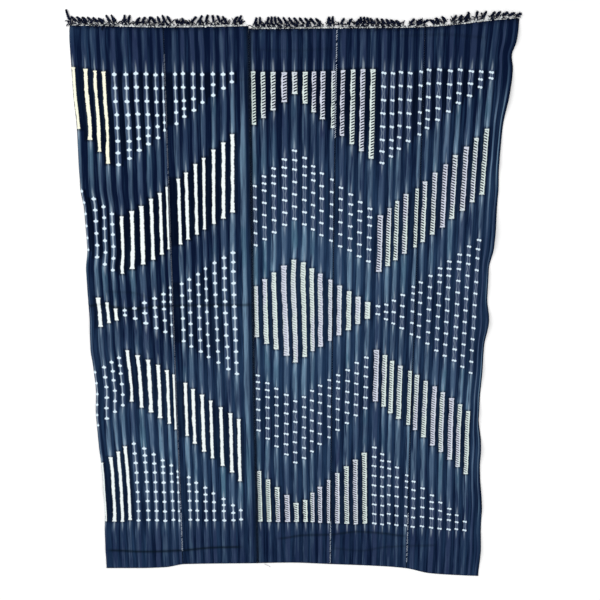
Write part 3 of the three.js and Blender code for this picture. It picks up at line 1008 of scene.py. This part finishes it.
PLY_SLACK = 0.12
PLY_RADIUS = 1.85
PLY_OFFSET = 1.9
PLY_FLATTENING = 0.75
TWIST_PITCH = 15.0
YARNS_PER_ROOT = 5
ROOT_SPREAD = 6.5
ROOT_YARN_RADIUS = 0.75
ROOT_YARN_SLIP = 1.4
FRAYED_ENDS = 8
FRAYED_FAN = 45
FRAYED_LENGTHS = (1.8, 4.6)
FRAYED_HEIGHTS = (0.6, 2.2)
FRAYED_RADIUS = 0.42
LOOSE_YARNS = 8
LOOSE_YARN_RADIUS = 1.3
LOOSE_YARN_TAPER = [0.9, 1, 1, 1, 1, 1, 1, 0.9, 0.5]
LOOSE_ROOT_REACH = 4.5
LOOSE_LEAN, LOOSE_CURL = 35, 130
LOOSE_LENGTHS = (9, 21)
LOOSE_HEIGHTS = (0.4, 4.2)
KNOT_STEP = 6.6
KNOT_RADIUS = 1.7
KNOT_SIZES = (0.3, 1.25)
DARK_KNOTS = 0.35
BLACK_INDIGO = (10, 12, 22)
BLUE_BLACK = (22, 28, 48)
UNDYED = (232, 236, 236)


def tassel_rows(strip):
    """Root, lean, length and curl of each tassel of a strip, spread evenly over its runs."""
    rows = []
    for run in zip(*TASSEL_RUNS.values()):
        if run[0] == strip:
            share = np.linspace(0, 1, int(run[3])) if run[3] > 1 else np.zeros(1)
            across = run[1] + share * (run[2] - run[1])
            lean = run[4] + share * (run[5] - run[4])
            length = across * 0 + run[6] * (FULL_LENGTH if run[6] < LONG_TASSEL else LONG_TASSEL_SHARE)
            rows.append(np.stack([across, lean, length, across * 0 + run[7]], 1))
    return np.concatenate(rows)


def yarn_tubes(paths, radii, sides, flattening=1.0):
    """Round yarns along many paths at once: points = path + radius (cos a * side + sin a * up),
    where side is level and square to the path, and both ends close to a pole. Paths have the
    shape (yarns, steps, 3), in metres, and radii (yarns, steps)."""
    yarns, steps = paths.shape[:2]
    tangent = np.gradient(paths, axis=1)
    tangent /= np.maximum(np.linalg.norm(tangent, axis=-1, keepdims=True), 1e-12)
    side = np.cross(tangent, [0.0, 0.0, 1.0])
    side /= np.maximum(np.linalg.norm(side, axis=-1, keepdims=True), 1e-12)
    up = np.cross(side, tangent)
    angle = np.linspace(0, 2 * math.pi, sides, endpoint=False)
    reach = np.cos(angle)[:, None] * side[:, :, None]
    reach = reach + flattening * np.sin(angle)[:, None] * up[:, :, None]
    rings = (paths[:, :, None] + radii[:, :, None, None] * reach).reshape(yarns, steps * sides, 3)
    points = np.concatenate([rings, paths[:, :1], paths[:, -1:]], 1)
    step, turn = (grid.ravel() for grid in np.mgrid[:steps - 1, :sides])
    beside = (turn + 1) % sides
    ring, next_ring = step * sides, (step + 1) * sides
    walls = np.stack([ring + turn, ring + beside, next_ring + beside, next_ring + turn], 1)
    around = np.arange(sides)
    after = (around + 1) % sides
    first, last = steps * sides, steps * sides + 1
    tail = (steps - 1) * sides
    caps = np.concatenate([
        np.stack([after, around, around * 0 + first], 1),
        np.stack([around + tail, after + tail, around * 0 + last], 1),
    ])
    triangles = np.concatenate([walls[:, [0, 1, 2]], walls[:, [0, 2, 3]], caps])
    offset = (np.arange(yarns) * points.shape[1])[:, None, None]
    along = np.concatenate([np.repeat(np.linspace(0, 1, steps), sides), [0.0, 1.0]])
    return points.reshape(-1, 3), (triangles[None] + offset).reshape(-1, 3), np.tile(along, yarns)


def tassel_lines(strip, rows):
    """The middle line of each tassel, in plan millimetres: from its root the heading is the lean
    plus curl times the share of the length, and the steps add up along it."""
    share = np.linspace(0, 1, TASSEL_STEPS)
    heading = np.radians(rows[:, 1:2] + rows[:, 3:4] * share)
    step = rows[:, 2:3] / (TASSEL_STEPS - 1)
    middle = (heading[:, 1:] + heading[:, :-1]) / 2
    zero = np.zeros((len(rows), 1))
    x = rows[:, :1] + np.concatenate([zero, np.cumsum(np.sin(middle) * step, 1)], 1)
    root = fringed_ends[half_of(strip)](rows[:, :1]) + ROOT_FROM_CLOTH
    y = root + np.concatenate([zero, np.cumsum(np.cos(middle) * step, 1)], 1)
    return x, y, heading, share


def fringe_parts(strip):
    """All yarns of one strip's fringe, as (paths, radii, sides, flattening, first paleness, last
    paleness) in plan millimetres: three plies for each tassel that turn about its middle line, a
    few frayed ends at its tip, curled loose yarns beside it, a fan of undyed yarns at its root,
    and the knots of the last weft along the cloth's end."""
    rng = np.random.default_rng(300 + strip)
    rows = tassel_rows(strip)
    each = (len(rows), 1)
    x, y, heading, share = tassel_lines(strip, rows)
    body = np.clip(0.45 + share * 2.4, 0, 1) * np.clip(1.9 - share * 1.1, 0, 1)
    slack = 1 + PLY_SLACK * np.sin(share * 9 + rng.uniform(0, 6, each))
    height = PLY_RADIUS * PLY_FLATTENING + PLY_OFFSET * PLY_FLATTENING
    parts = []
    first_turn = rng.uniform(0, 6, each)
    for ply in range(PLIES):
        turn = first_turn + 2 * math.pi * (share * rows[:, 2:3] / TWIST_PITCH + ply / PLIES)
        away = PLY_OFFSET * body * slack
        path = np.stack([
            x + np.cos(heading) * np.cos(turn) * away,
            y - np.sin(heading) * np.cos(turn) * away,
            height + PLY_FLATTENING * np.sin(turn) * away + 0 * x,
        ], -1)
        parts.append((path, PLY_RADIUS * body * slack, PLY_SIDES, PLY_FLATTENING, 1.0, 0.0))
    for _ in range(FRAYED_ENDS):
        fan = np.radians(rng.uniform(-FRAYED_FAN, FRAYED_FAN, each))
        reach = rng.uniform(*FRAYED_LENGTHS, each) * np.linspace(0, 1, 4)
        way = heading[:, -1:] + fan
        path = np.stack([
            x[:, -2:-1] + np.sin(way) * reach,
            y[:, -2:-1] + np.cos(way) * reach,
            np.maximum(rng.uniform(*FRAYED_HEIGHTS, each) - reach * 0.25, 0.3),
        ], -1)
        thickness = FRAYED_RADIUS * np.ones(reach.shape) * np.linspace(1.2, 0.5, 4)
        parts.append((path, thickness, 4, 1.0, 0.0, 0.0))
    edge = fringed_ends[half_of(strip)]
    for _ in range(LOOSE_YARNS):
        t = np.linspace(0, 1, len(LOOSE_YARN_TAPER))
        start = x[:, 1:2] + rng.uniform(-LOOSE_ROOT_REACH, LOOSE_ROOT_REACH, each)
        lean = rng.uniform(-LOOSE_LEAN, LOOSE_LEAN, each)
        way = heading[:, :1] + np.radians(lean + rng.uniform(-LOOSE_CURL, LOOSE_CURL, each) * t)
        stride = rng.uniform(*LOOSE_LENGTHS, each) / (len(t) - 1) * (t > 0)
        path = np.stack([
            start + np.cumsum(np.sin(way) * stride, 1),
            edge(start) + 1.5 + np.cumsum(np.cos(way) * stride, 1),
            LOOSE_YARN_RADIUS + rng.uniform(*LOOSE_HEIGHTS, each) * np.sin(t * 2.6),
        ], -1)
        thickness = LOOSE_YARN_RADIUS * rng.uniform(0.7, 1.2, each) * np.array(LOOSE_YARN_TAPER)
        parts.append((path, thickness, 5, 1.0, 0.6, 0.0))
    for number in range(YARNS_PER_ROOT):
        spread = ROOT_SPREAD * (number / (YARNS_PER_ROOT - 1) - 0.5) * 2
        start = rows[:, :1] + spread + rng.normal(0, ROOT_YARN_SLIP, each)
        t = np.linspace(0, 1, 6)
        neck_x, neck_y = x[:, 3:4], y[:, 3:4]
        path = np.stack([
            start + (neck_x - start) * t ** 1.4,
            (edge(start) - 0.8) + (neck_y - edge(start) + 0.8) * t,
            0.9 + 0.7 * np.sin(t * math.pi) + 0 * start,
        ], -1)
        parts.append((path, ROOT_YARN_RADIUS * np.ones(path.shape[:2]), 5, 1.0, 1.0, 0.55))
    ends = across_at(strip, np.array([0.0, 1.0]), CLOTH_END)
    knots = np.arange(ends[0] + 2, ends[1] - 1, KNOT_STEP)
    knots = (knots + rng.normal(0, 0.8, len(knots)))[:, None]
    size = rng.uniform(*KNOT_SIZES, knots.shape)
    t = np.linspace(-1, 1, 6)
    tilt = rng.normal(0, 0.5, knots.shape)
    path = np.stack([
        knots + t * 2.3 * size * np.cos(tilt),
        edge(knots) + 1.2 + rng.normal(0, 0.9, knots.shape) + t * 2.0 * size * np.sin(tilt),
        1.15 + 0 * knots * t,
    ], -1)
    bulge = np.sqrt(np.clip(1.04 - t * t, 0, 1))
    dark = rng.uniform(0, 1, len(knots)) < DARK_KNOTS
    for chosen, paleness in ((dark, 0.2), (~dark, 0.9)):
        parts.append((path[chosen], (KNOT_RADIUS * size * bulge)[chosen], 6, 0.85, paleness, paleness))
    return parts


def joined_yarns(name, parts):
    """One object of many yarns, with how pale each point is stored under undyed."""
    all_points, all_faces, all_pale, start = [], [], [], 0
    for path, radii, sides, flattening, first_pale, last_pale in parts:
        placed = in_frame(path[..., 0], path[..., 1], path[..., 2])
        points, faces, along = yarn_tubes(placed, radii * METRE, sides, flattening)
        all_points.append(points)
        all_faces.append(faces + start)
        all_pale.append(first_pale + (last_pale - first_pale) * np.clip(along * 3.2, 0, 1))
        start += len(points)
    piece = mesh_object(name, np.concatenate(all_points), np.concatenate(all_faces))
    pale = piece.data.attributes.new("undyed", "FLOAT", "POINT")
    pale.data.foreach_set("value", np.concatenate(all_pale).astype(np.float32))
    return piece


def twisted_yarn(name, dark, mid, pale):
    """Matt cotton yarn: dark, mottled with mid, and pale where the dye was kept out."""
    material, tree, surface = new_finish(name, 0.95)
    place = tree.nodes.new("ShaderNodeTexCoord")
    mottle = streaks(tree, place.outputs["Object"], 260, 260, 3, 2.1)
    fibre = streaks(tree, place.outputs["Object"], 2600, 1500, 2, 4.2)
    kept_out = tree.nodes.new("ShaderNodeAttribute")
    kept_out.attribute_name = "undyed"
    share = Reading(tree, kept_out.outputs["Fac"]) + (mottle - 0.5) * 0.3
    colour = tinted(tree, dark, mid, 1 - mottle.inside(0.5, 0.3))
    colour = tinted(tree, colour, pale, 1 - share.inside(0.5, 0.9))
    tree.links.new(colour, surface.inputs["Base Color"])
    bump = tree.nodes.new("ShaderNodeBump")
    bump.inputs["Strength"].default_value = 0.5
    bump.inputs["Distance"].default_value = 0.0002
    join(tree, fibre, bump.inputs["Height"])
    tree.links.new(bump.outputs["Normal"], surface.inputs["Normal"])
    return material


fringe_yarn = twisted_yarn("fringe_yarn", BLACK_INDIGO, BLUE_BLACK, UNDYED)
for strip in range(STRIPS):
    piece = joined_yarns(f"fringe_of_strip_{strip + 1}", fringe_parts(strip))
    piece.data.materials.append(fringe_yarn)
    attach(piece, "root")
    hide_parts(f"fringe_{strip + 1}")


# The seams
# Neighbouring strips are whipped together by hand, selvedge to selvedge, with a dark doubled
# thread. The second seam, which joins the cloth's two halves, is the heaviest. Where the thread
# was left undyed, a seam shows as a pale line.

SEAM_SEWING = table(["seam", "step", "reach", "radius", "slant"], [
    [1, 5.0, 2.0, 0.6, 2.0],
    [2, 4.6, 5.0, 0.8, 1.8],
    [3, 5.2, 1.6, 0.65, 2.3],
    [4, 5.2, 1.6, 0.65, 2.3],
])
PALE_THREAD = table(["seam", "from", "to", "share_of_stitches", "paleness"], [
    [1, 60, 232, 0.85, 1.0],
    [1, 232, 1500, 0.95, 0.42],
    [3, 20, 160, 0.9, 0.9],
    [3, 1290, 1566, 0.95, 1.0],
    [4, 20, 190, 0.85, 0.9],
])


SEAM_END = 1566.0
SEAM_FROM_HEM, SEAM_FROM_FRINGE = 4, 3
STITCH_SUNK, STITCH_RISE = 0.25, 0.45
STITCH_TAPER = [0.5, 0.95, 1, 0.95, 0.5]
THREAD_BLACK = (14, 20, 32)
THREAD_BLUE = (32, 42, 66)
THREAD_WHITE = (192, 204, 222)


def seam_parts(seam, step, reach, radius, slant):
    """The whip stitches of one seam: short arches over both selvedges, slanting along it."""
    number = int(seam)
    rng = np.random.default_rng(500 + number)
    hem = hems[half_of(number - 1)](borders[number](0.0)) + SEAM_FROM_HEM
    end = min(edge(borders[number](SEAM_END)) for edge in fringed_ends) - SEAM_FROM_FRINGE
    along = np.arange(hem, end, step)
    along = (along + rng.normal(0, 0.5, len(along)))[:, None]
    middle = borders[number](along)
    t = np.linspace(-1, 1, len(STITCH_TAPER))
    arch = np.sqrt(np.clip(1.0 - t * t, 0, 1))
    reach = reach * rng.uniform(0.85, 1.15, along.shape)
    across = middle + t * reach
    place = along + t * slant
    ridge = SELVEDGE_RIDGES[number] * np.exp(-(((across - middle) / SELVEDGE_REACH) ** 2))
    base = lift_at(across, place) + crease_relief(across, place) + cockle_at(across, place)
    height = base + CLOTH_THICKNESS + ridge - STITCH_SUNK + STITCH_RISE * arch
    thick = radius * np.array(STITCH_TAPER) * np.ones(along.shape)
    pale = np.zeros(len(along))
    chance = rng.uniform(0, 1, len(along))
    for pale_seam, start, stop, share, paleness in zip(*PALE_THREAD.values()):
        here = (pale_seam == seam) & (along[:, 0] > start) & (along[:, 0] < stop) & (chance < share)
        pale = np.where(here, paleness, pale)
    path = np.stack([across, place, height], -1)
    levels = [(level, pale == level) for level in np.unique(pale)]
    return [(path[here], thick[here], 6, 1.0, level, level) for level, here in levels]


sewing_thread = twisted_yarn("sewing_thread", THREAD_BLACK, THREAD_BLUE, THREAD_WHITE)
for seam, step, reach, radius, slant in zip(*SEAM_SEWING.values()):
    piece = joined_yarns(f"seam_{int(seam)}", seam_parts(seam, step, reach, radius, slant))
    piece.data.materials.append(sewing_thread)
    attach(piece, "root")


# The hem's sewing
# The rolled hem is overcast by hand with the same dark thread. One end of it was left long and
# lies loose beside the hem, near the second seam.

HEM_STITCH_STEP = 8.5
HEM_STITCH_LENGTH, HEM_STITCH_SLANT = 6.8, 2.4
HEM_STITCH_OVERHANG = 0.45
HEM_STITCH_TAPER = [0.6, 1, 1, 1, 1, 0.9, 0.5]
HEM_THREAD_RADIUS = 0.42
LOOSE_END_STEPS, LOOSE_END_RADIUS = 14, 0.35
LOOSE_END = {"across": [484, 490, 497, 503], "along": [16, 11, 8, 3]}


def hem_parts():
    """The overcast stitches of the hem, each an arch from the edge over the roll onto the cloth,
    and the loose end of thread."""
    rng = np.random.default_rng(900)
    parts = []
    for strip in range(STRIPS):
        ends = across_at(strip, np.array([0.02, 0.98]), 0.0)
        start = np.arange(ends[0], ends[1], HEM_STITCH_STEP)
        start = (start + rng.normal(0, 0.8, len(start)))[:, None]
        t = np.linspace(0, 1, len(HEM_STITCH_TAPER))
        edge = hems[half_of(strip)](start)
        along = edge - HEM_STITCH_OVERHANG + t * HEM_STITCH_LENGTH
        across = start + t * HEM_STITCH_SLANT
        roll = np.clip((along - edge) / HEM_DEPTH, 0, 1)
        over = np.maximum(hem_roll(roll), CLOTH_THICKNESS * t)
        height = lift_at(across, along) + over + 0.2 * np.sin(t * math.pi) + 0.15 * (1 - t)
        radii = HEM_THREAD_RADIUS * np.array(HEM_STITCH_TAPER) * np.ones(start.shape)
        parts.append((np.stack([across, along, height], -1), radii, 5, 1.0, 0.0, 0.0))
    t = np.linspace(0, 3, LOOSE_END_STEPS)
    line = [np.interp(t, range(4), LOOSE_END[name]) for name in ("across", "along")]
    path = np.stack([line[0], line[1], 0.5 + 1.6 * np.exp(-t * 1.6)], -1)[None]
    parts.append((path, np.full((1, LOOSE_END_STEPS), LOOSE_END_RADIUS), 6, 1.0, 0.0, 0.0))
    return parts


hem_sewing = joined_yarns("hem_sewing", hem_parts())
hem_sewing.data.materials.append(sewing_thread)
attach(hem_sewing, "root")

for strip, piece in enumerate(strip_pieces):
    across, along = lie_of(strip, np.array([0.0, 1.0]), np.array([0.5, 0.5]))
    length = float(np.ptp(lie_of(strip, 0.5, np.array([0.0, 1.0]))[1]))


# The studio
# The cloth lies on a plain white floor under soft light from all round, and the camera looks
# down at it, tilted a little from upright towards the fringed end.

FLOOR_HALF_SIDE = 6
FLOOR_DROP = 0.0004
FLOOR_WHITE = 0.93
LIGHT_ALL_ROUND = 0.84

corners = np.array([[-1, -1, 0], [1, -1, 0], [1, 1, 0], [-1, 1, 0]], float)
floor_points = corners * FLOOR_HALF_SIDE - [0, 0, FLOOR_DROP]
floor = mesh_object("floor", floor_points, np.array([[0, 1, 2, 3]]))
floor_finish, _, floor_surface = new_finish("white_floor", 1.0)
floor_surface.inputs["Base Color"].default_value = (*[FLOOR_WHITE] * 3, 1)
floor.data.materials.append(floor_finish)

studio = bpy.data.worlds.new("studio")
studio.use_nodes = True
studio.node_tree.nodes["Background"].inputs["Color"].default_value = (1, 1, 1, 1)
studio.node_tree.nodes["Background"].inputs["Strength"].default_value = LIGHT_ALL_ROUND
bpy.context.scene.world = studio


def soft_light(name, place, aim, size, power):
    """A square area light at a place, aimed at a point, in metres and watts."""
    lamp = bpy.data.lights.new(name, "AREA")
    lamp.size, lamp.energy = size, power
    holder = bpy.data.objects.new(name, lamp)
    way = np.array(aim, float) - np.array(place, float)
    flat = math.hypot(way[0], way[1])
    holder.rotation_euler = (math.atan2(flat, -way[2]), 0, math.atan2(-way[0], way[1]) if flat else 0)
    holder.location = place
    bpy.context.scene.collection.objects.link(holder)


soft_light("key_light", (-2.4, 1.6, 2.2), (0, 0, 0), 1.6, 48)
soft_light("fill_light", (2.0, -1.5, 2.6), (0, 0, 0), 2.4, 22)

PHOTO_SIDE = 600
CAMERA_REACH = 640
CAMERA_TILT = math.radians(12.3)
CAMERA_DISTANCE = 1798.6
AIM_ACROSS, AIM_ALONG = 594, 848
SENSOR = 36.0

lens = bpy.data.cameras.new("camera")
lens.sensor_width = SENSOR
lens.sensor_fit = "HORIZONTAL"
lens.lens = SENSOR * CAMERA_REACH / PHOTO_SIDE
lens.clip_end = 50
camera = bpy.data.objects.new("camera", lens)
camera.location = in_frame(
    AIM_ACROSS,
    AIM_ALONG + CAMERA_DISTANCE * math.sin(CAMERA_TILT),
    CAMERA_DISTANCE * math.cos(CAMERA_TILT),
).tolist()
camera.rotation_euler = (-CAMERA_TILT, 0, 0)
bpy.context.scene.collection.objects.link(camera)
bpy.context.scene.camera = camera
bpy.context.scene.view_settings.view_transform = "Standard"
